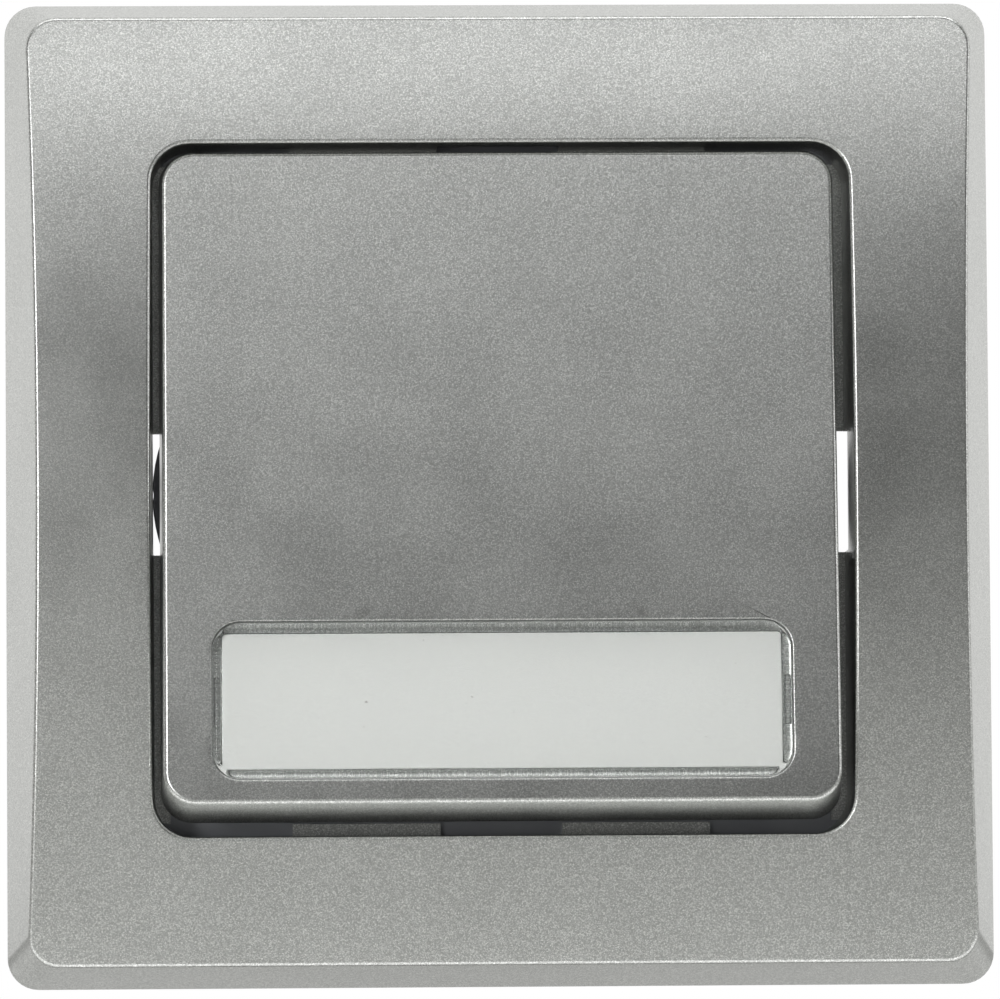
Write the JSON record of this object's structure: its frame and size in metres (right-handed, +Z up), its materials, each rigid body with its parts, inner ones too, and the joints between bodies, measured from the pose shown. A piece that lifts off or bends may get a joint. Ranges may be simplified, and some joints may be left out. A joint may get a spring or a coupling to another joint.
{
  "type": "rocker wall switch",
  "caption": "Flush rocker wall switch with an arched silver cover frame, a rocker with a clear label field, a steel support plate and a two-way insert behind the wall.",
  "frame": {"origin": "midway between the seats of the two fixing screws, on the wall's surface (the support plate's rear face)", "axes": "+Z up, +X to the right and -Y out of the wall, towards the user"},
  "size_m": [0.082, 0.039, 0.082],
  "materials": {
    "silver_paint": "silver metallic paint with fine flake, satin",
    "clear_window": "polished clear plastic",
    "card": "matt blank label",
    "zinc_steel": "bright zinc plating",
    "grey_plastic": "moulded, fine texture",
    "white_plastic": "moulded thermoset",
    "light_plastic": "smooth moulded",
    "dark_plastic": "smooth moulded",
    "spring_steel": "drawn wire and strip",
    "brass": "stamped strip",
    "contact_silver": "polished contact silver",
    "button_plastic": "smooth moulded"
  },
  "bodies": {
    "root": {"cover_frame": "silver_paint", "support_plate": "zinc_steel", "bearing_bridge": "grey_plastic", "bridge_screws": "zinc_steel", "base_housing": "white_plastic", "rear_cover": "white_plastic", "lever_pin": "spring_steel", "fixed_contacts": "contact_silver", "common_terminal": "brass", "upper_terminal": "brass", "lower_terminal": "brass", "common_clamp_spring": "spring_steel", "upper_clamp_spring": "spring_steel", "lower_clamp_spring": "spring_steel"},
    "rocker": {"rocker_cap": "silver_paint", "label_window": "clear_window", "label_card": "card", "rocker_cradle": "light_plastic", "plunger_spring": "spring_steel"},
    "plunger": {"plunger": "dark_plastic"},
    "contact_lever": {"contact_lever": "brass", "moving_contacts": "contact_silver"},
    "common_release": {"common_release_button": "button_plastic"},
    "upper_release": {"upper_release_button": "button_plastic"},
    "lower_release": {"lower_release_button": "button_plastic"}
  },
  "joints": [
    {"name": "rocker_pivot", "type": "hinge", "parent": "root", "child": "rocker", "pos_m": [0, -0.002, 0], "axis": [1, 0, 0], "range_deg": [0, 12.5]},
    {"name": "lever_pivot", "type": "hinge", "parent": "root", "child": "contact_lever", "pos_m": [0, 0.0125, 0], "axis": [1, 0, 0], "range_deg": [-16, 0]},
    {"name": "plunger_slide", "type": "slide", "parent": "rocker", "child": "plunger", "axis": [0, -0.9941, 0.1089], "range_m": [0, 0.001], "stiffness_N_per_m": 900, "springref_m": -0.002, "deforming": ["plunger_spring"]},
    {"name": "common_release_press", "type": "slide", "parent": "root", "child": "common_release", "axis": [0, -1, 0], "range_m": [0, 0.0012], "stiffness_N_per_m": 1200, "springref_m": -0.0008},
    {"name": "upper_release_press", "type": "slide", "parent": "root", "child": "upper_release", "axis": [0, -1, 0], "range_m": [0, 0.0012], "stiffness_N_per_m": 1200, "springref_m": -0.0008},
    {"name": "lower_release_press", "type": "slide", "parent": "root", "child": "lower_release", "axis": [0, -1, 0], "range_m": [0, 0.0012], "stiffness_N_per_m": 1200, "springref_m": -0.0008}
  ],
  "couplings": [
    {"joint": "lever_pivot", "follows": "rocker_pivot", "ratio": -1.28}
  ]
}
